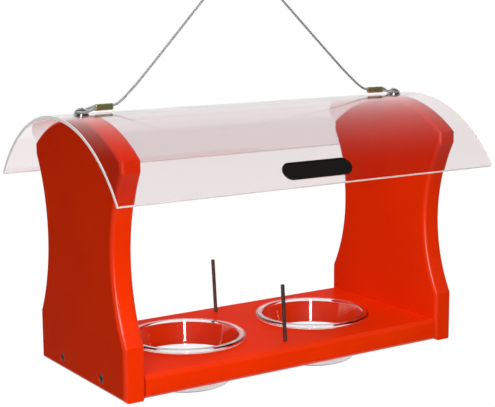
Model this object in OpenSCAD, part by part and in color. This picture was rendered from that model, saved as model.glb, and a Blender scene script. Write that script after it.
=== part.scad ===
// Oriole feeder: a tray board between two waisted end panels, with two drop-in cups,
// two pins for fruit halves, a bent clear sheet as the roof and a wire rope to hang it by.
// Lengths are in millimetres. X runs along the feeder, the front faces -Y and Z is up.
// The origin is in the middle of the feeder, level with the lowest piece.

/* [End panels] */
// Width of a panel, front to back, at its foot and its shoulders
panel_w = 158; // [130:1:180]
// Thickness of a panel
panel_t = 19; // [16:0.5:25]
// Height of the straight foot
foot_h = 44.5; // [40:0.5:60]
// Height of the hollowed waist
waist_h = 138; // [110:0.5:160]
// Depth of the hollow at each side of the waist
waist_depth = 18.2; // [8:0.1:30]
// Height of the straight shoulder above the waist
shoulder_h = 10.5; // [6:0.5:24]
// Radius on all the long edges of a panel
panel_edge_r = 4; // [1:0.5:6]

/* [Tray board] */
// Length of the board, which is the space between the panels
tray_l = 304; // [290:1:360]
// Thickness of the board
tray_t = 20; // [16:0.5:25]
// Height of the board's underside above the panels' feet
tray_lift = 0.5; // [0:0.5:10]
// How far the board's front and back stand in from the panels' edges
tray_inset = 0.5; // [0:0.5:6]
// Radius on the board's front and back edges
tray_edge_r = 5; // [1:0.5:6]

/* [Roof] */
// How far the roof sheet runs past each panel
roof_over = 18; // [14:0.5:40]
// Width of the roof, straight across from edge to edge
roof_w = 218.6; // [190:0.2:240]
// Thickness of the roof sheet
roof_t = 3; // [2:0.25:5]
// Radius of the panels' tops, which is the radius inside the sheet
roof_r = 128.2; // [122:0.2:160]

/* [Cups] */
// Distance between the middles of the two cups
cup_pitch = 137.5; // [125:0.5:150]
// Width of a cup's mouth, inside
cup_mouth_d = 93.4; // [80:0.2:98]
// Height of a cup, from its floor to the top of its rim
cup_h = 42.5; // [34:0.5:70]
// Thickness of a cup's wall
cup_wall = 1.8; // [1:0.1:2.4]
// Slope of a cup's wall, in degrees from upright
cup_draft = 12; // [4:0.5:16]
// Radius outside, between a cup's wall and its floor
cup_corner_r = 5; // [4:0.5:10]
// Width of the rim outside the wall
rim_w = 4.5; // [3.8:0.1:7]
// Height of the rim's turned-down lip
rim_h = 3.5; // [2.8:0.1:6]
// Gap all round between a cup's wall and its hole, at the board's top
cup_gap = 0.5; // [0.3:0.1:1.6]

/* [Fruit pins] */
// Diameter of a pin
pin_d = 3.4; // [2.5:0.1:5]
// Length of a pin above the board
pin_h = 51; // [30:0.5:80]
// Distance between the two pins, front to back
pin_pitch = 120; // [104:1:130]
// How far the pins stand off the feeder's middle, to the left
pin_off = 2.2; // [0:0.2:6]
// How much farther left the front pin stands than the back pin
pin_skew = 3.6; // [0:0.2:6]
// Lean of the pins to the left, in degrees
pin_lean = 3; // [0:0.25:6]
// Depth of a pin in the board
pin_seat = 14; // [8:0.5:15]

/* [Panel screws] */
// Diameter of a panel screw's shank
panel_screw_d = 4.2; // [3:0.1:5]
// Diameter of a panel screw's flat head
panel_screw_head_d = 8.4; // [7.6:0.1:10]
// Depth of a panel screw in the end of the board
panel_screw_bite = 26; // [15:1:30]
// Distance between the two screws of a panel
panel_screw_pitch = 73; // [60:1:110]
// How deep a panel screw's head lies below the panel's face
panel_screw_sink = 0.6; // [0.2:0.1:1.5]

/* [Roof screws] */
// Diameter of a roof screw's shank
roof_screw_d = 4.8; // [4:0.1:5.4]
// Diameter of a roof screw's round head
roof_screw_head_d = 9.4; // [9:0.1:11]
// Height of a roof screw's head
roof_screw_head_h = 2.3; // [1.6:0.1:3]
// Depth of a roof screw in its panel
roof_screw_bite = 26; // [15:1:40]
// Distance of a roof screw from the panel's outer face
roof_screw_in = 7; // [6:0.5:9.5]
// Diameter of a washer
washer_d = 13; // [12:0.5:16]
// Thickness of a washer
washer_t = 0.8; // [0.5:0.1:2]

/* [Wire rope] */
// Diameter of the wire rope
rope_d = 2.2; // [1.6:0.1:2.4]
// Length of a crimped ferrule
ferrule_l = 17; // [12:0.5:20]
// Wall of a ferrule
ferrule_wall = 0.6; // [0.4:0.1:1]

/* [Badge] */
// Length of the badge
badge_l = 69.5; // [40:0.5:110]
// Width of the badge
badge_w = 16; // [10:0.5:22]
// Thickness of the badge
badge_t = 1.6; // [1.2:0.1:3]
// Width of the badge's raised border
badge_border = 1.3; // [0.8:0.1:3]
// Depth of the badge's field below its border
badge_field = 0.5; // [0.2:0.1:0.8]
// Distance of the badge's middle from the roof's front edge, along the sheet
badge_up = 14.4; // [12:0.2:30]

/* [Hidden] */
$fn = 96;

// How far a cutting shape runs past the face that it cuts
past = 1;
// Room round a screw's shank in the washer and the sheet that it passes through
shank_gap = 0.3;
// Room round a flat head in its seat
seat_gap = 0.3;
// Steps in a quarter turn of a drawn outline
corner_steps = 8;
// A screw's sharp end, and the cross in its head as a share of the head's width
screw_point_d = 0.8;
cross_share = 0.55;
cross_depth = 1.5;
// Height of a round head's straight edge, below its dome
head_edge = 0.7;
// Chamfer on a pin's blunt end
pin_chamfer = 0.4;

// Heights, from the lowest piece up
foot_z = max(0, cup_h - rim_h - tray_t - tray_lift);
tray_z = foot_z + tray_lift;
tray_mid_z = tray_z + tray_t / 2;
tray_top_z = tray_z + tray_t;
shoulder_z = foot_z + foot_h + waist_h + shoulder_h;
arch_z = shoulder_z - sqrt(roof_r * roof_r - panel_w * panel_w / 4);
crest_z = arch_z + roof_r + roof_t;

// Places along the feeder
panel_in_x = tray_l / 2;
panel_out_x = tray_l / 2 + panel_t;
roof_screw_x = panel_out_x - roof_screw_in;
roof_l = 2 * (panel_out_x + roof_over);

// The waist is one arc through both its ends and the bottom of the hollow
waist_r = (waist_h * waist_h / 4 + waist_depth * waist_depth) / (2 * waist_depth);

// Cup sizes: radii from the cup's own axis, and the middle of the round at its floor
mouth_r = cup_mouth_d / 2;
cup_top_r = mouth_r + cup_wall / cos(cup_draft);
rim_r = cup_top_r + rim_w;
cup_hole_r = cup_top_r - rim_h * tan(cup_draft) + cup_gap;
cup_corner_x = cup_top_r - (cup_corner_r + (cup_h - cup_corner_r) * sin(cup_draft)) / cos(cup_draft);
rim_round = 0.9 * cup_wall;
lip_round = 0.4 * cup_wall;

// The roof's half angle and the badge's angle, both from the crest
roof_out_r = roof_r + roof_t;
roof_angle = asin(roof_w / 2 / roof_out_r);
badge_angle = roof_angle - badge_up / roof_out_r * 180 / PI;

// The rope's eye lies between the washer and the screw's head
eye_h = washer_t + rope_d / 2;
head_h = washer_t + rope_d;
// Heights of the rope's two strands in a ferrule, above the roof's crest, and the gap between them
strand_gap = 0.2;
low_h = 3.3;
high_h = low_h + rope_d + strand_gap;
// How far a ferrule starts from its screw
ferrule_x = 13;
// The rope leans back this much for each millimetre along the feeder
rope_lean = 0.08;
rope_sides = 8;

// The rope from its end in the ferrule, round the screw and out of the ferrule again:
// distance from the screw along the feeder, distance across, height above the roof's crest
end_route = [
    [29, 0, low_h],
    [14, 0, low_h],
    [11, -0.6, 3.2],
    [7.4, -2.6, 2.7],
    [3.4, -4.5, 2.1],
    [-1.6, -4.6, eye_h],
    [-4.8, 0, eye_h],
    [-1.6, 4.6, eye_h],
    [3.4, 4.5, 2.4],
    [7.4, 2.6, 3.9],
    [11, 0.6, 5.3],
    [14, 0, high_h],
    [30, 0, high_h],
    [34, 0, 6.4],
    [38.5, 0, 9],
    [43.5, 0, 12.9],
    [60, 0, 27.8],
];
// The rope from there up to the top: distance from the feeder's middle, distance back
// and height above the roof's crest
top_route = [
    [17, 11.8, 114.1],
    [8.5, 12.4, 122.4],
    [0, 13, 126.1],
];

// A half of the rope, at the left or the right end of the feeder
function rope_half(side) = concat(
    [for (p = end_route)
        [side * (roof_screw_x - p[0]), p[1] + rope_lean * p[0], crest_z + p[2]]],
    [for (p = top_route) [side * p[0], p[1], crest_z + p[2]]]
);

// Both halves meet at the top, which is in the list once
right_half = rope_half(1);
rope_route = concat(
    rope_half(-1),
    [for (i = [len(right_half) - 2:-1:0]) right_half[i]]
);

function unit(v) = v / norm(v);

// Direction of a path at one of its points, from the point before it to the point after it
function heading(path, i) =
    unit(path[min(i + 1, len(path) - 1)] - path[max(i - 1, 0)]);

// The point halfway from one of a path's points to the next, on a curve that is smooth there
function halfway(path, i) =
    (path[i] + path[i + 1]) / 2
    + norm(path[i + 1] - path[i]) / 8 * (heading(path, i) - heading(path, i + 1));

// A path with a point added halfway between each pair
function smooth(path) = [
    for (i = [0:len(path) - 2]) each [path[i], halfway(path, i)],
    path[len(path) - 1]
];

// A ring of points round a path, upright because the rope is never vertical
function ring(path, i, r, sides) =
    let (ahead = heading(path, i), across = unit(cross(ahead, [0, 0, 1])), up = cross(across, ahead))
    [for (k = [0:sides - 1])
        path[i] + r * (cos(360 * k / sides) * across + sin(360 * k / sides) * up)];

// Points of an arc about a middle, from one angle to another
function arc(x, y, r, from, to) = [
    for (i = [0:corner_steps])
        let (a = from + (to - from) * i / corner_steps)
        [x + r * cos(a), y + r * sin(a)]
];

// A closed tube along a path
module tube(path, r, sides) {
    rings = len(path);
    points = [for (i = [0:rings - 1]) each ring(path, i, r, sides)];
    walls = [for (i = [0:rings - 2], k = [0:sides - 1])
        [i * sides + k, i * sides + (k + 1) % sides,
         (i + 1) * sides + (k + 1) % sides, (i + 1) * sides + k]];
    first = [for (k = [sides - 1:-1:0]) k];
    last = [for (k = [0:sides - 1]) (rings - 1) * sides + k];
    polyhedron(points = points, faces = concat(walls, [first, last]));
}

// A rectangle with round corners, centred
module rounded_rect(w, h, r) {
    square([w - 2 * r, h], center = true);
    square([w, h - 2 * r], center = true);
    for (x = [-1, 1], y = [-1, 1])
        translate([x * (w / 2 - r), y * (h / 2 - r)]) circle(r);
}

// A long shape with half-round ends, centred
module stadium(l, w) {
    square([l - w, w], center = true);
    for (side = [-1, 1])
        translate([side * (l - w) / 2, 0]) circle(d = w);
}

// The space between two radii
module band(in_r, out_r) {
    difference() {
        circle(out_r);
        circle(in_r);
    }
}

// Turns a shape so that its own Z axis points along +X
module along_x() {
    rotate([0, 90, 0]) children();
}

// Places a piece of the right end there, or its mirror image at the left end
module at_end(side) {
    mirror([side < 0 ? 1 : 0, 0, 0]) children();
}

// A disc on edge with both rims rounded
module rounded_disc(r, t, edge_r) {
    along_x() rotate_extrude()
        intersection() {
            rounded_rect(2 * r, t, edge_r);
            translate([0, -t]) square([r + past, 2 * t]);
        }
}

// A spool with flared rims, which cuts the waist and rounds its edges
module waist_cutter(r, t, edge_r) {
    rim_l = 3 * edge_r;
    along_x() rotate_extrude()
        difference() {
            translate([0, -t / 2 - past]) square([r + edge_r, t + 2 * past]);
            translate([r + rim_l / 2, 0]) rounded_rect(rim_l, t, edge_r);
        }
}

// The foot and the sides of a panel, taller than it needs to be
module panel_blank() {
    tall = 2 * (crest_z - foot_z);
    intersection() {
        translate([0, 0, foot_z]) linear_extrude(tall)
            rounded_rect(panel_t, panel_w, panel_edge_r);
        translate([0, 0, foot_z + tall / 2]) rotate([90, 0, 0])
            linear_extrude(panel_w + 2 * past, center = true)
                rounded_rect(panel_t, tall, panel_edge_r);
    }
}

// Everything below the arch that carries the roof
module under_arch() {
    translate([0, 0, arch_z]) rounded_disc(roof_r, panel_t, panel_edge_r);
    translate([-panel_t / 2, -roof_r, foot_z]) cube([panel_t, 2 * roof_r, arch_z - foot_z]);
}

module end_panel() {
    panel_mid_x = panel_in_x + panel_t / 2;
    color("orangered") difference() {
        translate([panel_mid_x, 0, 0]) intersection() {
            panel_blank();
            under_arch();
        }
        for (side = [-1, 1])
            translate([panel_mid_x,
                       side * (panel_w / 2 - waist_depth + waist_r),
                       foot_z + foot_h + waist_h / 2])
                waist_cutter(waist_r, panel_t, panel_edge_r);
        panel_screw_places() {
            translate([panel_in_x - past, 0, 0]) along_x()
                cylinder(d = panel_screw_d, h = panel_t + 2 * past);
            flat_head();
            translate([panel_out_x - panel_screw_sink, 0, 0]) along_x()
                cylinder(d = panel_screw_head_d + 2 * seat_gap, h = panel_screw_sink + past);
        }
        translate([roof_screw_x, 0, crest_z - roof_t - roof_screw_bite])
            cylinder(d = roof_screw_d, h = roof_screw_bite + roof_t);
    }
}

// The two places of a panel's screws, level with the middle of the board
module panel_screw_places() {
    for (side = [-1, 1])
        translate([0, side * panel_screw_pitch / 2, tray_mid_z]) children();
}

// The cone of a flat head, sunk below the panel's outer face
module flat_head() {
    cone_l = (panel_screw_head_d - panel_screw_d) / 2;
    translate([panel_out_x - panel_screw_sink - cone_l, 0, 0]) along_x()
        cylinder(d1 = panel_screw_d, d2 = panel_screw_head_d, h = cone_l);
}

// A cross-shaped driver recess, cut down from the origin
module cross_recess(head_d) {
    slot_l = cross_share * head_d;
    slot_w = slot_l / 4;
    for (turn = [0, 90])
        rotate([0, 0, turn]) translate([-slot_l / 2, -slot_w / 2, -cross_depth])
            cube([slot_l, slot_w, cross_depth + past]);
}

// A shank with a sharp end, hanging down from the origin
module shank(d, l) {
    translate([0, 0, d - l]) cylinder(d = d, h = l - d);
    translate([0, 0, -l]) cylinder(d1 = screw_point_d, d2 = d, h = d);
}

module panel_screws() {
    color("dimgray") panel_screw_places() difference() {
        union() {
            flat_head();
            translate([panel_out_x - panel_screw_sink, 0, 0]) along_x()
                shank(panel_screw_d, panel_screw_bite + panel_t - panel_screw_sink);
        }
        translate([panel_out_x - panel_screw_sink, 0, 0]) along_x()
            cross_recess(panel_screw_head_d);
    }
}

module tray_board() {
    color("tomato") difference() {
        translate([0, 0, tray_mid_z]) rotate([90, 0, 90])
            linear_extrude(tray_l, center = true)
                rounded_rect(panel_w - 2 * tray_inset, tray_t, tray_edge_r);
        for (side = [-1, 1]) {
            translate([side * cup_pitch / 2, 0, tray_z - past])
                cylinder(r = cup_hole_r, h = tray_t + 2 * past);
            pin_place(side) translate([0, 0, -pin_seat])
                cylinder(d = pin_d, h = pin_seat + past);
            at_end(side) panel_screw_places()
                translate([panel_in_x - panel_screw_bite, 0, 0]) along_x()
                    cylinder(d = panel_screw_d, h = panel_screw_bite + past);
        }
    }
}

// The origin of a pin is where its axis crosses the board's top
module pin_place(side) {
    translate([side * pin_skew / 2 - pin_off, side * pin_pitch / 2, tray_top_z])
        rotate([0, -pin_lean, 0]) children();
}

module fruit_pin(side) {
    color("gray") pin_place(side) {
        translate([0, 0, -pin_seat])
            cylinder(d = pin_d, h = pin_seat + pin_h - pin_chamfer);
        translate([0, 0, pin_h - pin_chamfer])
            cylinder(d1 = pin_d, d2 = pin_d - 2 * pin_chamfer, h = pin_chamfer);
    }
}

// Half of a cup's section: its floor, wall, rim and turned-down lip
module cup_section() {
    lip_in_r = rim_r - cup_wall;
    lip_z = cup_h - rim_h;
    under_z = cup_h - cup_wall;
    under_r = cup_top_r - cup_wall * tan(cup_draft);
    polygon(concat(
        [[0, 0]],
        arc(cup_corner_x, cup_corner_r, cup_corner_r, -90, -cup_draft),
        [[under_r, under_z], [lip_in_r, under_z]],
        arc(lip_in_r + lip_round, lip_z + lip_round, lip_round, 180, 270),
        arc(rim_r - lip_round, lip_z + lip_round, lip_round, 270, 360),
        arc(rim_r - rim_round, cup_h - rim_round, rim_round, 0, 90),
        arc(mouth_r + rim_round, cup_h - rim_round, rim_round, 90, 180 - cup_draft),
        arc(cup_corner_x, cup_corner_r, cup_corner_r - cup_wall, -cup_draft, -90),
        [[0, cup_wall]]
    ));
}

module cup(side) {
    color([0.85, 0.9, 0.95, 0.5])
        translate([side * cup_pitch / 2, 0, tray_top_z + rim_h - cup_h])
            rotate_extrude() cup_section();
}

// The part of a circle, on both sides of the crest, that the roof covers
module roof_wedge() {
    reach = 2 * roof_out_r;
    polygon([[0, 0], [-reach * tan(roof_angle), reach], [reach * tan(roof_angle), reach]]);
}

module roof_sheet() {
    color([0.85, 0.85, 0.9, 0.4]) difference() {
        translate([0, 0, arch_z]) rotate([90, 0, 90])
            linear_extrude(roof_l, center = true) intersection() {
                band(roof_r, roof_out_r);
                roof_wedge();
            }
        for (side = [-1, 1])
            translate([side * roof_screw_x, 0, crest_z - roof_t - past])
                cylinder(d = roof_screw_d + 2 * shank_gap, h = roof_t + 2 * past);
    }
}

module roof_washer() {
    color("silver") translate([roof_screw_x, 0, crest_z])
        linear_extrude(washer_t) band(roof_screw_d / 2 + shank_gap, washer_d / 2);
}

// A low domed head on a straight shank
module roof_screw() {
    dome_h = roof_screw_head_h - head_edge;
    dome_r = (roof_screw_head_d * roof_screw_head_d / 4 + dome_h * dome_h) / (2 * dome_h);
    color("silver") translate([roof_screw_x, 0, crest_z + head_h]) difference() {
        union() {
            intersection() {
                cylinder(d = roof_screw_head_d, h = roof_screw_head_h);
                translate([0, 0, roof_screw_head_h - dome_r]) sphere(dome_r);
            }
            shank(roof_screw_d, head_h + roof_t + roof_screw_bite);
        }
        translate([0, 0, roof_screw_head_h]) cross_recess(roof_screw_head_d);
    }
}

// An oval sleeve, pressed round both strands of the rope
module ferrule() {
    strand_pitch = high_h - low_h;
    wide = rope_d + 2 * ferrule_wall;
    color("olivedrab")
        translate([roof_screw_x - ferrule_x, rope_lean * ferrule_x, crest_z + low_h + strand_pitch / 2])
            rotate([0, 0, -atan(rope_lean)]) mirror([1, 0, 0]) along_x() difference() {
                linear_extrude(ferrule_l) stadium(strand_pitch + wide, wide);
                for (side = [-1, 1])
                    translate([side * strand_pitch / 2, 0, -past])
                        cylinder(d = rope_d, h = ferrule_l + 2 * past);
            }
}

module hanging_rope() {
    color("darkgray") tube(smooth(rope_route), rope_d / 2, rope_sides);
}

// A plate of the badge's outline, bent about the roof's axis, between two radii
module bent_plate(l, w, in_r, out_r) {
    intersection() {
        linear_extrude(2 * out_r) stadium(l, w);
        along_x() linear_extrude(l + 2 * past, center = true) band(in_r, out_r);
    }
}

module badge_plate() {
    top_r = roof_out_r + badge_t;
    color("black") translate([0, 0, arch_z]) rotate([badge_angle, 0, 0]) difference() {
        bent_plate(badge_l, badge_w, roof_out_r, top_r);
        bent_plate(badge_l - 2 * badge_border, badge_w - 2 * badge_border,
                   top_r - badge_field, top_r + past);
    }
}

at_end(-1) end_panel();  // left_end_panel
at_end(1) end_panel();  // right_end_panel
tray_board();
roof_sheet();
cup(-1);  // left_cup
cup(1);  // right_cup
fruit_pin(-1);  // front_fruit_pin
fruit_pin(1);  // back_fruit_pin
at_end(-1) panel_screws();  // left_panel_screws
at_end(1) panel_screws();  // right_panel_screws
at_end(-1) roof_screw();  // left_roof_screw
at_end(1) roof_screw();  // right_roof_screw
at_end(-1) roof_washer();  // left_roof_washer
at_end(1) roof_washer();  // right_roof_washer
at_end(-1) ferrule();  // left_ferrule
at_end(1) ferrule();  // right_ferrule
hanging_rope();
badge_plate();
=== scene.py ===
"""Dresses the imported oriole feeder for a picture.

The boards, the screws, the washers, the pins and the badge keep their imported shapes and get
materials. The clear roof and cups, the wire rope and its crimped ferrules are worked out again
as finer surfaces in the same places. Lengths are in metres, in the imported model's own frame.
"""

import math

import bmesh
import bpy
import numpy as np
from bpy.props import FloatProperty, FloatVectorProperty, PointerProperty
from mathutils import Matrix, Vector


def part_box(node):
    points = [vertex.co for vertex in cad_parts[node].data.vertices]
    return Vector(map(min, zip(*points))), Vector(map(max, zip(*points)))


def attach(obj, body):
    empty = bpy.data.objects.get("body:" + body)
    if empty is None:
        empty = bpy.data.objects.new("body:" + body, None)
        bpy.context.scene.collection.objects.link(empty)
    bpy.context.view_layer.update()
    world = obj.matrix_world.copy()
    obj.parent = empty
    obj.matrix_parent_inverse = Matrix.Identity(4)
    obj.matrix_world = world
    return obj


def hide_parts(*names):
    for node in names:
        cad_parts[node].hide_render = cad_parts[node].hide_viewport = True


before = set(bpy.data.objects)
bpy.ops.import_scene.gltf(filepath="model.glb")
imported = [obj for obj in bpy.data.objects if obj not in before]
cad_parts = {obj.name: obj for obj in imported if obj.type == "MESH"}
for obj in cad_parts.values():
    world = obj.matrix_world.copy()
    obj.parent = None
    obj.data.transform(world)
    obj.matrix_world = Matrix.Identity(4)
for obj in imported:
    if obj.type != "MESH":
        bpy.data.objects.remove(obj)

bl_info = {
    "name": "Oriole Feeder",
    "version": (1, 0, 0),
    "blender": (4, 5, 0),
    "location": "3D View > Sidebar > Feeder",
    "description": "Finishes the pieces of a hanging oriole feeder",
    "category": "Object",
}

MM = 0.001

# The photograph's frame in pixels, and the camera that was fitted to it
IMAGE_WIDTH = 495
FOCAL_PIXELS = 1267.829
SENSOR_WIDTH = 36.0
CAMERA_AZIMUTH = -33.199
CAMERA_ELEVATION = 9.792
CAMERA_ROLL = -0.358
CAMERA_DISTANCE = 1181.42 * MM
CAMERA_TARGET = (23.006 * MM, 39.674 * MM, 143.774 * MM)

# The rope from its end in the ferrule, round the screw and out of the ferrule again:
# distance from the screw along the feeder, distance across, height above the roof's crest
END_ROUTE = MM * np.array([
    [29, 0, 3.3], [14, 0, 3.3], [11, -0.6, 3.2], [7.4, -2.6, 2.7], [3.4, -4.5, 2.1],
    [-1.6, -4.6, 1.9], [-4.8, 0, 1.9], [-1.6, 4.6, 1.9], [3.4, 4.5, 2.4], [7.4, 2.6, 3.9],
    [11, 0.6, 5.3], [14, 0, 5.7], [30, 0, 5.7], [34, 0, 6.4], [38.5, 0, 9],
    [43.5, 0, 12.9], [60, 0, 27.8],
])
# The rope from there to the top: distance from the feeder's middle, distance back and
# height above the roof's crest
TOP_ROUTE = MM * np.array([[17, 11.8, 114.1], [8.5, 12.4, 122.4], [0, 13, 126.1]])
ROPE_LEAN = 0.08
SCREW_X = 164 * MM
CREST_Z = 241.733 * MM
# Where a ferrule starts, how long it is and how high its middle lies above the crest
FERRULE_START = 13 * MM
FERRULE_LENGTH = 17 * MM
FERRULE_MIDDLE = 4.5 * MM
STRAND_PITCH = 2.4 * MM
# The middle line of the arch that the roof is bent over
ARCH_Z = 110.533 * MM


def linear(code):
    """The linear colour, with alpha 1, of an sRGB hex code such as #F53406."""
    parts = [int(code[i:i + 2], 16) / 255 for i in (1, 3, 5)]
    return (*(p / 12.92 if p <= 0.04045 else ((p + 0.055) / 1.055) ** 2.4 for p in parts), 1.0)


# Meshes


def unit(vectors):
    """Each vector over its own length."""
    return vectors / np.linalg.norm(vectors, axis=-1, keepdims=True)


def headings(path):
    """The direction at each point of a path: from the point before it to the point after."""
    last = len(path) - 1
    index = np.arange(last + 1)
    return unit(path[np.minimum(index + 1, last)] - path[np.maximum(index - 1, 0)])


def smooth_path(path, steps):
    """Cubic from point a to b with headings p and q, over t from 0 to 1:
    a(2t^3 - 3t^2 + 1) + b(3t^2 - 2t^3) + |b - a| (p(t^3 - 2t^2 + t) + q(t^3 - t^2))."""
    t = np.linspace(0, 1, steps, endpoint=False)[None, :, None]
    a, b = path[:-1, None], path[1:, None]
    turn = headings(path)
    p, q = turn[:-1, None], turn[1:, None]
    span = np.linalg.norm(b - a, axis=-1, keepdims=True)
    curve = (a * (2 * t**3 - 3 * t**2 + 1) + b * (3 * t**2 - 2 * t**3)
             + span * (p * (t**3 - 2 * t**2 + t) + q * (t**3 - t**2)))
    return np.vstack((curve.reshape(-1, 3), path[-1:]))


def travelled(path):
    """The distance along a path at each of its points."""
    return np.concatenate(([0], np.cumsum(np.linalg.norm(np.diff(path, axis=0), axis=1))))


def evenly(path, spacing):
    """The same path with points one spacing apart, measured along it."""
    along = travelled(path)
    places = np.linspace(0, along[-1], int(round(along[-1] / spacing)) + 1)
    return np.stack([np.interp(places, along, path[:, axis]) for axis in range(3)], axis=1)


def axes_along(path):
    """Two directions across a path that never runs upright: one level and one over it."""
    ahead = headings(path)
    across = unit(np.cross(ahead, [0, 0, 1]))
    return across, np.cross(across, ahead)


def arc(x, y, radius, start, end, steps):
    """Points (x + r cos a, y + r sin a) for a from start to end, in degrees."""
    a = np.radians(np.linspace(start, end, steps + 1))
    return np.column_stack((x + radius * np.cos(a), y + radius * np.sin(a)))


def grid_faces(rows, columns):
    """The quads between neighbouring rows of points, with the last column joined to the first."""
    row, column = np.meshgrid(np.arange(rows - 1), np.arange(columns), indexing="ij")
    after = (column + 1) % columns
    return np.stack((row * columns + column, row * columns + after,
                     (row + 1) * columns + after, (row + 1) * columns + column),
                    axis=-1).reshape(-1, 4)


def revolve(profile, columns):
    """A profile (r, z) turned about Z: (r cos a, r sin a, z) for a over one full turn."""
    a = np.linspace(0, 2 * np.pi, columns, endpoint=False)
    r, z = profile[:, :1], profile[:, 1:]
    return np.stack((r * np.cos(a), r * np.sin(a), z + 0 * a), axis=-1)


def sweep(path, section):
    """A section (across, over) carried along a path: p + u across + v over, row by row.
    The section is one outline for the whole path or one for each of its points."""
    across, over = axes_along(path)
    u, v = section[..., 0:1], section[..., 1:2]
    return path[:, None] + u * across[:, None] + v * over[:, None]


def make_piece(name, grids, material, replaced, sharp=180):
    """One object from grids of points whose rows are closed rings. An end ring that isn't a
    point gets a face of its own. Coincident points are merged and faces turned outwards."""
    points, faces, start = [], [], 0
    for grid in grids:
        rows, columns = grid.shape[:2]
        points.append(grid.reshape(-1, 3))
        faces += (grid_faces(rows, columns) + start).tolist()
        faces += [list(range(start, start + columns)),
                  list(range(start + (rows - 1) * columns, start + rows * columns))]
        start += rows * columns
    mesh = bpy.data.meshes.new(name)
    mesh.from_pydata(np.vstack(points).tolist(), [], faces)
    shell = bmesh.new()
    shell.from_mesh(mesh)
    bmesh.ops.remove_doubles(shell, verts=shell.verts, dist=1e-7)
    bmesh.ops.recalc_face_normals(shell, faces=shell.faces)
    shell.to_mesh(mesh)
    shell.free()
    mesh.shade_smooth()
    mesh.set_sharp_from_angle(angle=math.radians(sharp))
    mesh.materials.append(material)
    piece = bpy.data.objects.new(name, mesh)
    bpy.context.scene.collection.objects.link(piece)
    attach(piece, "root")
    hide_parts(*replaced)
    return piece


def finish_nodes(material, *names):
    """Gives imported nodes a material, in place of the plain one they came with."""
    for name in names:
        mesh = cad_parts[name].data
        mesh.materials.clear()
        mesh.materials.append(material)


# Materials


def new_material(name):
    material = bpy.data.materials.new(name)
    material.use_nodes = True
    material.node_tree.nodes.clear()
    return material, material.node_tree


def add_node(tree, kind, settings=None, inputs=None):
    """Adds a shader node, sets its options, and fills or links its inputs by name or number."""
    node = tree.nodes.new("ShaderNode" + kind)
    for name, value in (settings or {}).items():
        setattr(node, name, value)
    for key, value in (inputs or {}).items():
        if isinstance(value, bpy.types.NodeSocket):
            tree.links.new(value, node.inputs[key])
        else:
            node.inputs[key].default_value = value
    return node


def board_material(settings):
    """Through-coloured polyethylene board, extruded and then planed, with routed edges: a deep
    even orange with a satin face, faintly cloudy and very finely pebbled."""
    material, tree = new_material("polyethylene_board")
    place = add_node(tree, "TexCoord").outputs["Object"]
    # Clouds of pigment, about 80 mm across
    clouds = add_node(tree, "TexNoise", inputs={
        "Vector": place, "Scale": 1 / (80 * MM), "Detail": 2.0, "Roughness": 0.5})
    # Faint streaks along the way the board was extruded, 3 mm wide and 90 mm long
    stretched = add_node(tree, "Mapping", inputs={
        "Vector": place, "Scale": (1 / (90 * MM), 1 / (3 * MM), 1 / (3 * MM))})
    streaks = add_node(tree, "TexNoise", inputs={
        "Vector": stretched.outputs[0], "Scale": 1.0, "Detail": 3.0})
    shade = add_node(tree, "Math", {"operation": "MULTIPLY_ADD"}, {
        0: streaks.outputs["Fac"], 1: 0.3, 2: clouds.outputs["Fac"]})
    spread = add_node(tree, "MapRange", inputs={
        "Value": shade.outputs[0], "From Min": 0.4, "From Max": 0.9})
    colour = add_node(tree, "Mix", {"data_type": "RGBA"}, {
        0: spread.outputs[0], 6: tuple(settings.shade_colour), 7: tuple(settings.colour)})
    # The routed rounds and hollows: the more so, the further the face turns from square
    square = add_node(tree, "VectorMath", {"operation": "ABSOLUTE"}, {
        0: add_node(tree, "NewGeometry").outputs["True Normal"]})
    parts = add_node(tree, "SeparateXYZ", inputs={0: square.outputs[0]})
    most = add_node(tree, "Math", {"operation": "MAXIMUM"}, {
        0: parts.outputs["X"], 1: parts.outputs["Y"]})
    most = add_node(tree, "Math", {"operation": "MAXIMUM"}, {
        0: most.outputs[0], 1: parts.outputs["Z"]})
    routed = add_node(tree, "MapRange", {"interpolation_type": "SMOOTHSTEP"}, {
        "Value": most.outputs[0], "From Min": 1.0, "From Max": 0.86})
    # Pebbling of the planed face, 1.2 mm across so that it shows in the picture
    pebbles = add_node(tree, "TexNoise", inputs={
        "Vector": place, "Scale": 1 / (1.2 * MM), "Detail": 2.0})
    planed = add_node(tree, "MapRange", inputs={
        "Value": pebbles.outputs["Fac"], "To Min": settings.roughness - 0.06,
        "To Max": settings.roughness + 0.06})
    sheen = add_node(tree, "Mix", {"data_type": "FLOAT"}, {
        0: routed.outputs[0], 2: planed.outputs[0], 3: settings.edge_roughness})
    # The cutter burnishes the plastic there, and it hardly shines anywhere else
    burnish = add_node(tree, "Math", {"operation": "MULTIPLY"}, {
        0: routed.outputs[0], 1: settings.burnish})
    bump = add_node(tree, "Bump", inputs={
        "Strength": 0.2, "Distance": 0.1 * MM, "Height": pebbles.outputs["Fac"]})
    shader = add_node(tree, "BsdfPrincipled", inputs={
        "Base Color": colour.outputs[2], "Roughness": sheen.outputs[0], "IOR": 1.54,
        "Specular IOR Level": 0.009, "Coat Weight": burnish.outputs[0],
        "Coat Roughness": settings.edge_roughness, "Coat IOR": 1.5, "Normal": bump.outputs[0]})
    add_node(tree, "OutputMaterial", inputs={"Surface": shader.outputs[0]})
    return material


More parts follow.
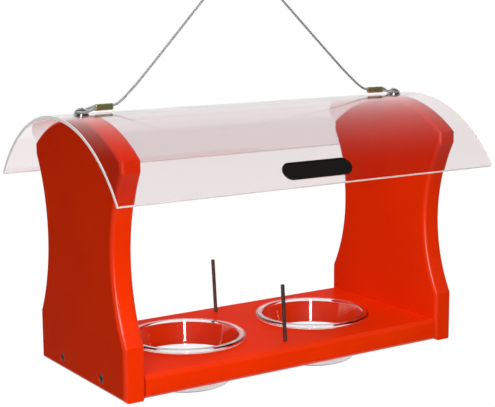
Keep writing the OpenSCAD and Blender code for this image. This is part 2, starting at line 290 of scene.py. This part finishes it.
def pass_light(tree, shader, tint):
    """Lets lamps and soft light straight through a clear shell, tinted once at each face."""
    rays = add_node(tree, "LightPath")
    soft = add_node(tree, "Math", {"operation": "MAXIMUM"}, {
        0: rays.outputs["Is Shadow Ray"], 1: rays.outputs["Is Diffuse Ray"]})
    straight = add_node(tree, "BsdfTransparent", inputs={"Color": tint})
    both = add_node(tree, "MixShader", inputs={
        0: soft.outputs[0], 1: shader.outputs[0], 2: straight.outputs[0]})
    add_node(tree, "OutputMaterial", inputs={"Surface": both.outputs[0]})


def sheet_material(settings):
    """Clear polycarbonate sheet, extruded and bent cold: clear faces with a trace of pink, and
    dull sawn edges, whose ends have a faint painted glow for light running along the sheet."""
    material, tree = new_material("polycarbonate_sheet")
    place = add_node(tree, "TexCoord").outputs["Object"]
    outwards = add_node(tree, "VectorMath", {"operation": "SUBTRACT"}, {
        0: place, 1: (0.0, 0.0, ARCH_Z)})
    radial = add_node(tree, "VectorMath", {"operation": "MULTIPLY"}, {
        0: outwards.outputs[0], 1: (0.0, 1.0, 1.0)})
    spoke = add_node(tree, "VectorMath", {"operation": "NORMALIZE"}, {0: radial.outputs[0]})
    # A face of the sheet looks along its spoke, and a sawn edge looks away from it
    normal = add_node(tree, "NewGeometry").outputs["True Normal"]
    facing = add_node(tree, "VectorMath", {"operation": "DOT_PRODUCT"}, {
        0: spoke.outputs[0], 1: normal})
    flat = add_node(tree, "Math", {"operation": "ABSOLUTE"}, {0: facing.outputs["Value"]})
    edge = add_node(tree, "Math", {"operation": "LESS_THAN"}, {0: flat.outputs[0], 1: 0.8})
    colour = add_node(tree, "Mix", {"data_type": "RGBA"}, {
        0: edge.outputs[0], 6: tuple(settings.tint), 7: tuple(settings.edge_tint)})
    # Rolling marks of the extruded sheet, long waves of 40 mm
    waves = add_node(tree, "TexNoise", inputs={
        "Vector": place, "Scale": 1 / (40 * MM), "Detail": 1.0})
    bump = add_node(tree, "Bump", inputs={
        "Strength": 0.1, "Distance": 0.5 * MM, "Height": waves.outputs["Fac"]})
    rough = add_node(tree, "MapRange", inputs={
        "Value": edge.outputs[0], "To Min": settings.roughness, "To Max": 0.4})
    clear = add_node(tree, "MapRange", inputs={
        "Value": edge.outputs[0], "To Min": 1.0, "To Max": settings.edge_clear})
    # Only the ends look along the feeder
    ends = add_node(tree, "VectorMath", {"operation": "ABSOLUTE"}, {0: normal})
    ends = add_node(tree, "SeparateXYZ", inputs={0: ends.outputs[0]})
    # Painted glow: the sawn ends give off light in the sheet's tint, standing for the light that
    # runs along the sheet
    glow = add_node(tree, "Mix", {"data_type": "RGBA"}, {
        0: ends.outputs["X"], 6: (0.0, 0.0, 0.0, 1.0), 7: tuple(settings.tint)})
    shader = add_node(tree, "BsdfPrincipled", inputs={
        "Base Color": colour.outputs[2], "Roughness": rough.outputs[0], "IOR": 1.58,
        "Transmission Weight": clear.outputs[0], "Emission Color": glow.outputs[2],
        "Emission Strength": settings.painted_end_glow, "Normal": bump.outputs[0]})
    pass_light(tree, shader, tuple(settings.tint))
    return material


def cup_material(settings):
    """Clear polystyrene, injection moulded: thin glossy walls with faint flow lines."""
    material, tree = new_material("clear_polystyrene")
    place = add_node(tree, "TexCoord").outputs["Object"]
    # Flow lines down the wall, 6 mm across and 30 mm long
    stretched = add_node(tree, "Mapping", inputs={
        "Vector": place, "Scale": (1 / (6 * MM), 1 / (6 * MM), 1 / (30 * MM))})
    flow = add_node(tree, "TexNoise", inputs={
        "Vector": stretched.outputs[0], "Scale": 1.0, "Detail": 1.0})
    bump = add_node(tree, "Bump", inputs={
        "Strength": 0.03, "Distance": 0.4 * MM, "Height": flow.outputs["Fac"]})
    shader = add_node(tree, "BsdfPrincipled", inputs={
        "Base Color": tuple(settings.tint), "Roughness": 0.03, "IOR": 1.59,
        "Transmission Weight": 1.0, "Normal": bump.outputs[0]})
    pass_light(tree, shader, tuple(settings.tint))
    return material


def metal_material(name, colour, clean, roughness, marks, depth):
    """A metal, of which the clean share shines and the rest is dull oxide, with fine marks as
    wide and as deep as given. Colour and shine vary a little with them."""
    material, tree = new_material(name)
    place = add_node(tree, "TexCoord").outputs["Object"]
    grain = add_node(tree, "TexNoise", inputs={
        "Vector": place, "Scale": 1 / marks, "Detail": 2.0})
    tone = add_node(tree, "MapRange", inputs={
        "Value": grain.outputs["Fac"], "To Min": 0.8, "To Max": 1.1})
    tinted = add_node(tree, "Mix", {"data_type": "RGBA", "blend_type": "MULTIPLY"}, {
        0: 1.0, 6: tuple(colour), 7: tone.outputs[0]})
    rough = add_node(tree, "MapRange", inputs={
        "Value": grain.outputs["Fac"], "To Min": roughness - 0.05, "To Max": roughness + 0.1})
    bump = add_node(tree, "Bump", inputs={
        "Strength": 0.3, "Distance": depth, "Height": grain.outputs["Fac"]})
    shader = add_node(tree, "BsdfPrincipled", inputs={
        "Base Color": tinted.outputs[2], "Metallic": clean, "Roughness": rough.outputs[0],
        "Normal": bump.outputs[0]})
    add_node(tree, "OutputMaterial", inputs={"Surface": shader.outputs[0]})
    return material


def badge_material(settings):
    """Black acrylonitrile plastic, moulded and polished: a deep gloss with faint waves."""
    material, tree = new_material("black_plastic")
    place = add_node(tree, "TexCoord").outputs["Object"]
    # Waves that the polish leaves, 8 mm across
    waves = add_node(tree, "TexNoise", inputs={
        "Vector": place, "Scale": 1 / (8 * MM), "Detail": 1.0})
    rough = add_node(tree, "MapRange", inputs={
        "Value": waves.outputs["Fac"], "To Min": 0.12, "To Max": 0.2})
    bump = add_node(tree, "Bump", inputs={
        "Strength": 0.1, "Distance": 0.2 * MM, "Height": waves.outputs["Fac"]})
    shader = add_node(tree, "BsdfPrincipled", inputs={
        "Base Color": tuple(settings.colour), "Roughness": rough.outputs[0], "IOR": 1.53,
        "Normal": bump.outputs[0]})
    add_node(tree, "OutputMaterial", inputs={"Surface": shader.outputs[0]})
    return material


# Settings


class FeederRope(bpy.types.PropertyGroup):
    diameter: FloatProperty(
        name="Rope diameter", description="Diameter of the whole wire rope",
        default=0.0022, min=0.001, max=0.004, unit="LENGTH")
    lay: FloatProperty(
        name="Lay", description="Length of rope in which a strand goes round once",
        default=0.014, min=0.006, max=0.04, unit="LENGTH")
    crimp: FloatProperty(
        name="Crimp", description="Depth of the pressed bands, as a share of the ferrule's width",
        default=0.14, min=0.0, max=0.3, subtype="FACTOR")
    wire_colour: FloatVectorProperty(
        name="Wire", description="Colour of the rope's galvanised wires",
        default=linear("#BFC3C1"), size=4, min=0, max=1, subtype="COLOR")
    ferrule_colour: FloatVectorProperty(
        name="Ferrule", description="Colour of the ferrules' dull brass",
        default=linear("#E2E0A0"), size=4, min=0, max=1, subtype="COLOR")


class FeederRoof(bpy.types.PropertyGroup):
    thickness: FloatProperty(
        name="Thickness", description="Thickness of the sheet, which just clears the panels",
        default=0.00295, min=0.001, max=0.006, unit="LENGTH")
    arris: FloatProperty(
        name="Arris", description="Width of the bevel that breaks the sawn edges",
        default=0.0003, min=0.0001, max=0.001, unit="LENGTH")
    tint: FloatVectorProperty(
        name="Sheet", description="Colour that the clear sheet's faces pass",
        default=linear("#F5ECED"), size=4, min=0, max=1, subtype="COLOR")
    edge_tint: FloatVectorProperty(
        name="Sawn edge", description="Colour of the sheet's sawn edges",
        default=linear("#F8F9F3"), size=4, min=0, max=1, subtype="COLOR")
    edge_clear: FloatProperty(
        name="Clear edge", description="How much of the light the sawn edges let through",
        default=0.1, min=0, max=1, subtype="FACTOR")
    # Painted glow: strength of the light that the sawn ends give off
    painted_end_glow: FloatProperty(
        name="Glowing ends", description="Light that leaves the sheet at its sawn ends",
        default=0.17, min=0, max=1)
    roughness: FloatProperty(
        name="Roughness", description="Roughness of the sheet's faces",
        default=0.03, min=0, max=1, subtype="FACTOR")


class FeederBoards(bpy.types.PropertyGroup):
    colour: FloatVectorProperty(
        name="Board", description="Main colour of the boards",
        default=linear("#F33502"), size=4, min=0, max=1, subtype="COLOR")
    shade_colour: FloatVectorProperty(
        name="Board, darker", description="Colour of the boards' darker clouds",
        default=linear("#EB3001"), size=4, min=0, max=1, subtype="COLOR")
    roughness: FloatProperty(
        name="Roughness", description="Roughness of the planed faces",
        default=0.42, min=0.1, max=1, subtype="FACTOR")
    edge_roughness: FloatProperty(
        name="Edge roughness", description="Roughness of the routed rounds and hollows",
        default=0.3, min=0.1, max=1, subtype="FACTOR")
    burnish: FloatProperty(
        name="Burnish", description="Gloss that the router leaves on the rounds and hollows",
        default=1.0, min=0.0, max=1, subtype="FACTOR")


class FeederCups(bpy.types.PropertyGroup):
    wall: FloatProperty(
        name="Wall", description="Thickness of a cup's wall",
        default=0.0018, min=0.0008, max=0.003, unit="LENGTH")
    draft: FloatProperty(
        name="Draft", description="Slope of a cup's wall from upright",
        default=math.radians(12), min=0, max=0.4, subtype="ANGLE")
    corner: FloatProperty(
        name="Corner", description="Radius outside, between a cup's wall and its floor",
        default=0.005, min=0.003, max=0.01, unit="LENGTH")
    rim_width: FloatProperty(
        name="Rim width", description="Width of the rim outside the wall",
        default=0.0045, min=0.003, max=0.008, unit="LENGTH")
    rim_height: FloatProperty(
        name="Rim height", description="Height of the rim's turned-down lip",
        default=0.0035, min=0.002, max=0.006, unit="LENGTH")
    tint: FloatVectorProperty(
        name="Cup", description="Colour that a cup's faces pass",
        default=linear("#FDFDFE"), size=4, min=0, max=1, subtype="COLOR")


class FeederMetal(bpy.types.PropertyGroup):
    pin_colour: FloatVectorProperty(
        name="Pins", description="Colour of the fruit pins' dull steel",
        default=linear("#6E6866"), size=4, min=0, max=1, subtype="COLOR")
    bright_colour: FloatVectorProperty(
        name="Roof screws", description="Colour of the roof screws' bright plating",
        default=linear("#F0F0F2"), size=4, min=0, max=1, subtype="COLOR")
    dark_colour: FloatVectorProperty(
        name="Panel screws", description="Colour of the panel screws' dark plating",
        default=linear("#5F5B59"), size=4, min=0, max=1, subtype="COLOR")
    washer_colour: FloatVectorProperty(
        name="Washers", description="Colour of the washers' plating",
        default=linear("#D2D2D2"), size=4, min=0, max=1, subtype="COLOR")


class FeederBadge(bpy.types.PropertyGroup):
    colour: FloatVectorProperty(
        name="Badge", description="Colour of the badge",
        default=linear("#191715"), size=4, min=0, max=1, subtype="COLOR")


class FeederStage(bpy.types.PropertyGroup):
    drop: FloatProperty(
        name="Drop", description="Depth of the floor below the hanging feeder",
        default=0.3, min=0.0, max=2.0, unit="LENGTH")
    floor_colour: FloatVectorProperty(
        name="Floor", description="Colour of the floor",
        default=linear("#E8E7E6"), size=4, min=0, max=1, subtype="COLOR")
    # Painted shade: brightness of the floor near the feeder, as glossy surfaces see it
    painted_mirrored_shade: FloatProperty(
        name="Mirrored floor", description="Brightness of the shaded floor in glossy surfaces",
        default=0.65, min=0, max=1)
    mirrored_wall: FloatProperty(
        name="Mirrored wall", description="Brightness of the white wall behind in glossy surfaces",
        default=1.0, min=0, max=1)
    mirrored_room: FloatProperty(
        name="Mirrored room", description="Brightness of the rest of the room in glossy surfaces",
        default=0.03, min=0, max=1)
    key: FloatProperty(
        name="Key light", description="Power of the soft lamp in front",
        default=2.15, min=0, max=200, unit="POWER")
    top: FloatProperty(
        name="Top light", description="Power of the soft lamp overhead",
        default=9.2, min=0, max=200, unit="POWER")
    back: FloatProperty(
        name="Back light", description="Power of the soft lamp behind, at the right",
        default=6.0, min=0, max=200, unit="POWER")
    strip: FloatProperty(
        name="Strip light", description="Power of the narrow lamp that glints in cups and edges",
        default=10.0, min=0, max=200, unit="POWER")
    ambient: FloatProperty(
        name="Ambient", description="Strength of the even light from all round",
        default=0.155, min=0, max=1)


# Operators


class FEEDER_OT_camera(bpy.types.Operator):
    """Places the camera at the photograph's angle"""

    bl_idname = "feeder.camera"
    bl_label = "Camera"

    def execute(self, context):
        a, e = math.radians(CAMERA_AZIMUTH), math.radians(CAMERA_ELEVATION)
        back = Vector((math.sin(a) * math.cos(e), -math.cos(a) * math.cos(e), math.sin(e)))
        right = (-back).cross(Vector((0, 0, 1))).normalized()
        turn = Matrix((right, back.cross(right), back)).transposed().to_4x4()
        roll = Matrix.Rotation(math.radians(CAMERA_ROLL), 4, "Z")
        data = bpy.data.cameras.new("camera")
        data.sensor_width = SENSOR_WIDTH
        data.lens = SENSOR_WIDTH * FOCAL_PIXELS / IMAGE_WIDTH
        camera = bpy.data.objects.new("camera", data)
        camera.matrix_world = (
            Matrix.Translation(Vector(CAMERA_TARGET) + back * CAMERA_DISTANCE) @ turn @ roll)
        context.scene.collection.objects.link(camera)
        context.scene.camera = camera
        return {"FINISHED"}


class FEEDER_OT_rope(bpy.types.Operator):
    """Lays the wire rope and presses a ferrule on each of its two eyes"""

    bl_idname = "feeder.rope"
    bl_label = "Wire rope"

    def rope_line(self):
        """The rope's middle line, from its end in the left ferrule to its end in the right."""
        halves = []
        for side in (-1, 1):
            eye = np.column_stack((side * (SCREW_X - END_ROUTE[:, 0]),
                                   END_ROUTE[:, 1] + ROPE_LEAN * END_ROUTE[:, 0],
                                   CREST_Z + END_ROUTE[:, 2]))
            rise = np.column_stack((side * TOP_ROUTE[:, 0], TOP_ROUTE[:, 1],
                                    CREST_Z + TOP_ROUTE[:, 2]))
            halves.append(np.vstack((eye, rise)))
        return smooth_path(np.vstack((halves[0], halves[1][-2::-1])), 40)

    def strands(self, line, settings):
        """Six strands wound round a seventh: strand j turns at 2 pi (s / lay + j / 6), a third
        of the rope wide and two thirds of its radius out from the middle."""
        thin = settings.diameter / 6
        a = np.linspace(0, 2 * np.pi, 8, endpoint=False)
        ring = thin * np.stack((np.cos(a), np.sin(a)), axis=-1)
        turn = 2 * np.pi * travelled(line)[:, None] / settings.lay
        grids = [sweep(line, ring)]
        for j in range(6):
            w = turn + 2 * np.pi * j / 6
            offset = 2 * thin * np.stack((np.cos(w), np.sin(w)), axis=-1)
            grids.append(sweep(line, offset + ring))
        return grids

    def ferrule(self, side, settings):
        """An oval sleeve: (w cos a, w sin a + h sign(sin a)) times 1 - e(s) at distance s, where
        e has three pressed bands and closes both ends with a short round."""
        s = FERRULE_LENGTH * (1 - np.cos(np.pi * np.linspace(0, 1, 65))) / 2
        start = np.array([SCREW_X - FERRULE_START, ROPE_LEAN * FERRULE_START,
                          CREST_Z + FERRULE_MIDDLE])
        ahead = np.array([-1, ROPE_LEAN, 0]) / math.hypot(1, ROPE_LEAN)
        line = (start + s[:, None] * ahead) * (side, 1, 1)
        a = np.linspace(0, 2 * np.pi, 48, endpoint=False)
        width = settings.diameter / 2 + 0.6 * MM
        oval = np.stack((width * np.cos(a),
                         width * np.sin(a) + STRAND_PITCH / 2 * np.tanh(6 * np.sin(a))), axis=-1)
        to_end = np.minimum(s, FERRULE_LENGTH - s) / (0.7 * MM)
        round_end = np.sqrt(1 - (1 - np.clip(to_end, 0, 1)) ** 2)
        bands = sum(np.exp(-(((s - FERRULE_LENGTH * place) / (1.5 * MM)) ** 4))
                    for place in (0.2, 0.5, 0.8))
        pressed = np.stack((1 - settings.crimp * bands, 1 - 0.2 * settings.crimp * bands), -1)
        return sweep(line, oval * (pressed * (0.25 + 0.75 * round_end[:, None]))[:, None])

    def execute(self, context):
        settings = context.scene.feeder_rope
        line = evenly(self.rope_line(), 1.15 * MM)
        # Galvanised steel wire, drawn and stranded: bright grey, darker between the strands
        wire = metal_material("galvanised_wire", settings.wire_colour, clean=0.4,
                              roughness=0.38, marks=0.6 * MM, depth=0.1 * MM)
        # Brass tube, pressed and gone dull
        brass = metal_material("dull_brass", settings.ferrule_colour, clean=0.85,
                               roughness=0.16, marks=1.5 * MM, depth=0.05 * MM)
        rope = make_piece("wire_rope", self.strands(line, settings), wire,
                          ["hanging_rope"])
        ferrules = [make_piece(name + "_crimped", [self.ferrule(side, settings)], brass,
                               [name], 50)
                    for side, name in ((-1, "left_ferrule"), (1, "right_ferrule"))]
        return {"FINISHED"}


class FEEDER_OT_roof(bpy.types.Operator):
    """Bends the clear roof sheet and takes the arris off its sawn edges"""

    bl_idname = "feeder.roof"
    bl_label = "Roof"

    def sheet(self, settings, half_length, half_width):
        """(x, (m + d) sin a, z + (m + d) cos a), where m is the radius in the middle of the
        sheet, z the arch's middle, and a and d go round the section: out over the sheet, down
        its sawn edge and back under it. At the ends both shrink by the arris."""
        thick, arris, steps = settings.thickness, settings.arris, 151
        out_r = CREST_Z - ARCH_Z
        middle_r = out_r - thick / 2
        half = math.asin(half_width / out_r)
        over = np.linspace(-1, 1, steps) * (half - arris / out_r)
        a = np.concatenate((over, [half, half], over[::-1], [-half, -half]))
        low, high = arris - thick / 2, thick / 2 - arris
        d = np.concatenate((np.full(steps, thick / 2), [high, low],
                            np.full(steps, -thick / 2), [low, high]))
        x = np.array([-half_length, arris - half_length, 0, half_length - arris, half_length])
        shrink = np.array([arris, 0, 0, 0, arris])[:, None]
        a = a * (1 - shrink / (middle_r * half))
        r = middle_r + d * (1 - 2 * shrink / thick)
        return np.stack((x[:, None] + 0 * a, r * np.sin(a), ARCH_Z + r * np.cos(a)), axis=-1)

    def execute(self, context):
        settings = context.scene.feeder_roof
        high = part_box("roof_sheet")[1]
        make_piece("roof_sheet_bent", [self.sheet(settings, high[0], high[1])],
                   sheet_material(settings), ["roof_sheet"], 30)
        return {"FINISHED"}


class FEEDER_OT_boards(bpy.types.Operator):
    """Finishes the end panels and the tray board"""

    bl_idname = "feeder.boards"
    bl_label = "Boards"

    def execute(self, context):
        finish_nodes(board_material(context.scene.feeder_boards),
                     "left_end_panel", "right_end_panel", "tray_board")
        return {"FINISHED"}


class FEEDER_OT_cups(bpy.types.Operator):
    """Turns the two clear cups"""

    bl_idname = "feeder.cups"
    bl_label = "Cups"

    def profile(self, settings, rim_r, height):
        """Half a cup's section: floor, wall, turned-down lip, rolled rim, and back inside."""
        wall, slope = settings.wall, settings.draft
        degrees = math.degrees(slope)
        top_r = rim_r - settings.rim_width
        mouth_r = top_r - wall / math.cos(slope)
        corner = settings.corner
        corner_x = top_r - (corner + (height - corner) * math.sin(slope)) / math.cos(slope)
        lip_in_r, lip_z = rim_r - wall, height - settings.rim_height
        under_z, under_r = height - wall, top_r - wall * math.tan(slope)
        rim_round, lip_round = 0.9 * wall, 0.4 * wall
        return np.vstack((
            [[0, 0]],
            arc(corner_x, corner, corner, -90, -degrees, 16),
            [[under_r, under_z], [lip_in_r, under_z]],
            arc(lip_in_r + lip_round, lip_z + lip_round, lip_round, 180, 270, 6),
            arc(rim_r - lip_round, lip_z + lip_round, lip_round, 270, 360, 6),
            arc(rim_r - rim_round, height - rim_round, rim_round, 0, 90, 10),
            arc(mouth_r + rim_round, height - rim_round, rim_round, 90, 180 - degrees, 10),
            arc(corner_x, corner, corner - wall, -degrees, -90, 12),
            [[0, wall]],
        ))

    def execute(self, context):
        settings = context.scene.feeder_cups
        clear = cup_material(settings)
        for name in ("left_cup", "right_cup"):
            low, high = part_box(name)
            middle = (np.array(low) + np.array(high)) / 2
            half = self.profile(settings, (high[0] - low[0]) / 2, high[2] - low[2])
            shell = revolve(half, 144) + (middle[0], middle[1], low[2])
            make_piece(name + "_moulded", [shell], clear, [name], 40)
        return {"FINISHED"}


class FEEDER_OT_metal(bpy.types.Operator):
    """Finishes the fruit pins, the screws and the washers"""

    bl_idname = "feeder.metal"
    bl_label = "Pins, screws and washers"

    def execute(self, context):
        settings = context.scene.feeder_metal
        # Drawn steel rod, left bare: dull, with faint grey streaks
        rod = metal_material("dull_steel_rod", settings.pin_colour, clean=0.8,
                             roughness=0.36, marks=1 * MM, depth=0.1 * MM)
        finish_nodes(rod, "front_fruit_pin", "back_fruit_pin")
        # Bright nickel plating on steel: nearly a mirror
        nickel = metal_material("bright_nickel", settings.bright_colour, clean=1.0,
                                roughness=0.12, marks=3 * MM, depth=0.05 * MM)
        finish_nodes(nickel, "left_roof_screw", "right_roof_screw")
        # Dark zinc plating on steel: nearly black, with a soft shine
        dark_zinc = metal_material("dark_zinc", settings.dark_colour, clean=0.8,
                                   roughness=0.32, marks=2 * MM, depth=0.05 * MM)
        finish_nodes(dark_zinc, "left_panel_screws", "right_panel_screws")
        # Bright zinc plating on stamped steel: shiny and a little cloudy
        bright_zinc = metal_material("bright_zinc", settings.washer_colour, clean=0.95,
                                     roughness=0.2, marks=2 * MM, depth=0.05 * MM)
        finish_nodes(bright_zinc, "left_roof_washer", "right_roof_washer")
        return {"FINISHED"}


class FEEDER_OT_badge(bpy.types.Operator):
    """Finishes the bare badge"""

    bl_idname = "feeder.badge"
    bl_label = "Badge"

    def execute(self, context):
        finish_nodes(badge_material(context.scene.feeder_badge), "badge_plate")
        return {"FINISHED"}


class FEEDER_OT_stage(bpy.types.Operator):
    """Adds the pale floor, the soft lamps and the light from all round"""

    bl_idname = "feeder.stage"
    bl_label = "Floor and light"

    def lamp(self, name, place, wide, tall, power, mirrored=False):
        """A flat lamp that faces the feeder's middle. It lights matt surfaces and doesn't show
        in glossy ones, or, if it is to be mirrored, the other way round."""
        data = bpy.data.lights.new(name, "AREA")
        data.shape, data.size, data.size_y, data.energy = "RECTANGLE", wide, tall, power
        lamp = bpy.data.objects.new(name, data)
        aim = Vector((0, 0, 0.12)) - Vector(place)
        lamp.matrix_world = (
            Matrix.Translation(place) @ aim.to_track_quat("-Z", "Y").to_matrix().to_4x4())
        lamp.visible_glossy = lamp.visible_transmission = mirrored
        lamp.visible_diffuse = not mirrored
        bpy.context.scene.collection.objects.link(lamp)

    def kinds_of_ray(self, tree):
        """Two masks: the rays that carry a picture to the camera, straight, mirrored or through
        clear plastic, and of all rays the ones that have been mirrored on their way."""
        rays = add_node(tree, "LightPath")
        seen = add_node(tree, "Math", {"operation": "ADD", "use_clamp": True}, {
            0: rays.outputs["Is Camera Ray"], 1: rays.outputs["Is Glossy Ray"]})
        seen = add_node(tree, "Math", {"operation": "ADD", "use_clamp": True}, {
            0: seen.outputs[0], 1: rays.outputs["Is Transmission Ray"]})
        mirrored = add_node(tree, "Math", {"operation": "GREATER_THAN"}, {
            0: rays.outputs["Glossy Depth"], 1: 0.5})
        return seen.outputs[0], mirrored.outputs[0]

    def floor_material(self, settings):
        """Matt white paper that catches the feeder's soft shadow. The camera sees it half as
        white light, and wholly so far away, where it runs into the white room."""
        material, tree = new_material("floor_paper")
        place = add_node(tree, "TexCoord").outputs["Object"]
        away = add_node(tree, "VectorMath", {"operation": "LENGTH"}, {0: place})
        far = add_node(tree, "MapRange", {"interpolation_type": "SMOOTHSTEP"}, {
            "Value": away.outputs["Value"], "From Min": 0.45, "From Max": 0.8,
            "To Min": 0.5, "To Max": 1.0})
        seen, mirrored = self.kinds_of_ray(tree)
        plain = add_node(tree, "Math", {"operation": "MAXIMUM"}, {
            0: far.outputs[0], 1: mirrored})
        share = add_node(tree, "Math", {"operation": "MULTIPLY"}, {
            0: plain.outputs[0], 1: seen})
        # Paper grain, 1.5 mm across
        grain = add_node(tree, "TexNoise", inputs={"Vector": place, "Scale": 1 / (1.5 * MM)})
        bump = add_node(tree, "Bump", inputs={
            "Strength": 0.1, "Distance": 0.2 * MM, "Height": grain.outputs["Fac"]})
        paper = add_node(tree, "BsdfPrincipled", inputs={
            "Base Color": tuple(settings.floor_colour), "Roughness": 0.9,
            "Specular IOR Level": 0.2, "Normal": bump.outputs[0]})
        # Mirrored, the floor shows painted light and shade: white far behind the feeder, a painted
        # shade of grey near it, and dim in front and at the left
        part = add_node(tree, "SeparateXYZ", inputs={0: place})
        shade = add_node(tree, "MapRange", {"interpolation_type": "SMOOTHSTEP"}, {
            "Value": part.outputs["Y"], "From Min": -0.4, "From Max": -0.1,
            "To Min": settings.mirrored_room, "To Max": settings.painted_mirrored_shade})
        behind = add_node(tree, "MapRange", {"interpolation_type": "SMOOTHSTEP"}, {
            "Value": part.outputs["Y"], "From Min": 0.31, "From Max": 0.36,
            "To Min": shade.outputs[0], "To Max": 1.0})
        painted_floor_light = add_node(tree, "MapRange", {"interpolation_type": "SMOOTHSTEP"}, {
            "Value": part.outputs["X"], "From Min": -0.9, "From Max": -0.4,
            "To Min": settings.mirrored_room, "To Max": behind.outputs[0]})
        # Painted light and shade on the floor, given as emission to mirrored rays only
        shine = add_node(tree, "Mix", {"data_type": "FLOAT"}, {
            0: mirrored, 2: 1.0, 3: painted_floor_light.outputs[0]})
        white = add_node(tree, "Emission", inputs={"Color": shine.outputs[0], "Strength": 1.0})
        both = add_node(tree, "MixShader", inputs={
            0: share.outputs[0], 1: paper.outputs[0], 2: white.outputs[0]})
        add_node(tree, "OutputMaterial", inputs={"Surface": both.outputs[0]})
        return material

    def light_all_round(self, scene, settings):
        """White where the camera sees it, straight or through clear plastic, a studio with a
        white wall where it is mirrored, and a dimmer even light for everything else."""
        world = bpy.data.worlds.new("soft_room")
        world.use_nodes = True
        tree = world.node_tree
        tree.nodes.clear()
        seen, mirrored = self.kinds_of_ray(tree)
        # Mirrored, the room is white behind the feeder, greyer overhead and dim in front. What
        # counts is the direction across the feeder: 1 is level behind it, 0 straight up. The
        # bright part ends just behind the top at the left and some way in front at the right.
        heading = add_node(tree, "TexCoord").outputs["Generated"]
        along = add_node(tree, "SeparateXYZ", inputs={0: heading})
        end = add_node(tree, "MapRange", inputs={
            "Value": along.outputs["X"], "From Min": 0.45, "From Max": 0.62,
            "To Min": 0.12, "To Max": -0.34})
        across = add_node(tree, "VectorMath", {"operation": "MULTIPLY"}, {
            0: heading, 1: (0.0, 1.0, 1.0)})
        across = add_node(tree, "VectorMath", {"operation": "NORMALIZE"}, {0: across.outputs[0]})
        part = add_node(tree, "SeparateXYZ", inputs={0: across.outputs[0]})
        rise = add_node(tree, "MapRange", inputs={
            "Value": part.outputs["Y"], "From Min": end.outputs[0], "From Max": 1.0})
        rise = add_node(tree, "Math", {"operation": "POWER"}, {0: rise.outputs[0], 1: 1.4})
        room = add_node(tree, "MapRange", inputs={
            "Value": rise.outputs[0], "To Min": settings.mirrored_room,
            "To Max": settings.mirrored_wall})
        shown = add_node(tree, "Mix", {"data_type": "FLOAT"}, {
            0: mirrored, 2: 1.0, 3: room.outputs[0]})
        colour = add_node(tree, "Mix", {"data_type": "FLOAT"}, {
            0: seen, 2: settings.ambient, 3: shown.outputs[0]})
        background = add_node(tree, "Background", inputs={
            "Color": colour.outputs[0], "Strength": 1.0})
        add_node(tree, "OutputWorld", inputs={"Surface": background.outputs[0]})
        scene.world = world

    def execute(self, context):
        settings = context.scene.feeder_stage
        mesh = bpy.data.meshes.new("floor")
        reach = 30.0
        mesh.from_pydata([(x, y, -settings.drop) for x, y in (
            (-reach, -reach), (reach, -reach), (reach, reach), (-reach, reach))],
            [], [(0, 1, 2, 3)])
        mesh.materials.append(self.floor_material(settings))
        floor = bpy.data.objects.new("floor", mesh)
        context.scene.collection.objects.link(floor)
        self.lamp("key_lamp", (-0.22, -0.62, 0.17), 0.3, 0.3, settings.key)
        self.lamp("top_lamp", (-0.36, -0.3, 1.15), 0.5, 0.6, settings.top)
        self.lamp("back_lamp", (1.1, 0.9, 0.5), 0.5, 0.5, settings.back)
        self.lamp("strip_lamp", (-0.7, -1.2, 0.5), 0.12, 0.6, settings.strip, mirrored=True)
        self.light_all_round(context.scene, settings)
        return {"FINISHED"}


class FEEDER_PT_pieces(bpy.types.Panel):
    """Lists the feeder's pieces and their settings"""

    bl_label = "Oriole Feeder"
    bl_idname = "FEEDER_PT_pieces"
    bl_space_type = "VIEW_3D"
    bl_region_type = "UI"
    bl_category = "Feeder"

    def draw(self, context):
        for operator in OPERATORS:
            box = self.layout.box()
            box.operator(operator.bl_idname)
            group = getattr(context.scene, operator.bl_idname.replace(".", "_"), None)
            for name in getattr(type(group), "__annotations__", ()):
                box.prop(group, name)


OPERATORS = (FEEDER_OT_camera, FEEDER_OT_rope, FEEDER_OT_roof, FEEDER_OT_boards,
             FEEDER_OT_cups, FEEDER_OT_metal, FEEDER_OT_badge, FEEDER_OT_stage)
GROUPS = {"feeder_rope": FeederRope, "feeder_roof": FeederRoof, "feeder_boards": FeederBoards,
          "feeder_cups": FeederCups, "feeder_metal": FeederMetal, "feeder_badge": FeederBadge,
          "feeder_stage": FeederStage}


def register():
    for group in (*GROUPS.values(), *OPERATORS, FEEDER_PT_pieces):
        bpy.utils.register_class(group)
    for name, group in GROUPS.items():
        setattr(bpy.types.Scene, name, PointerProperty(type=group))


def unregister():
    for name in GROUPS:
        delattr(bpy.types.Scene, name)
    for group in reversed((*GROUPS.values(), *OPERATORS, FEEDER_PT_pieces)):
        bpy.utils.unregister_class(group)


def main():
    """Finishes the feeder piece by piece."""
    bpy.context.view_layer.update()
    register()
    bpy.ops.feeder.camera()
    bpy.ops.feeder.rope()
    bpy.ops.feeder.roof()
    bpy.ops.feeder.boards()
    bpy.ops.feeder.cups()
    bpy.ops.feeder.metal()
    bpy.ops.feeder.badge()
    bpy.ops.feeder.stage()
    bpy.context.scene.view_settings.view_transform = "Standard"


if __name__ == "__main__":
    main()
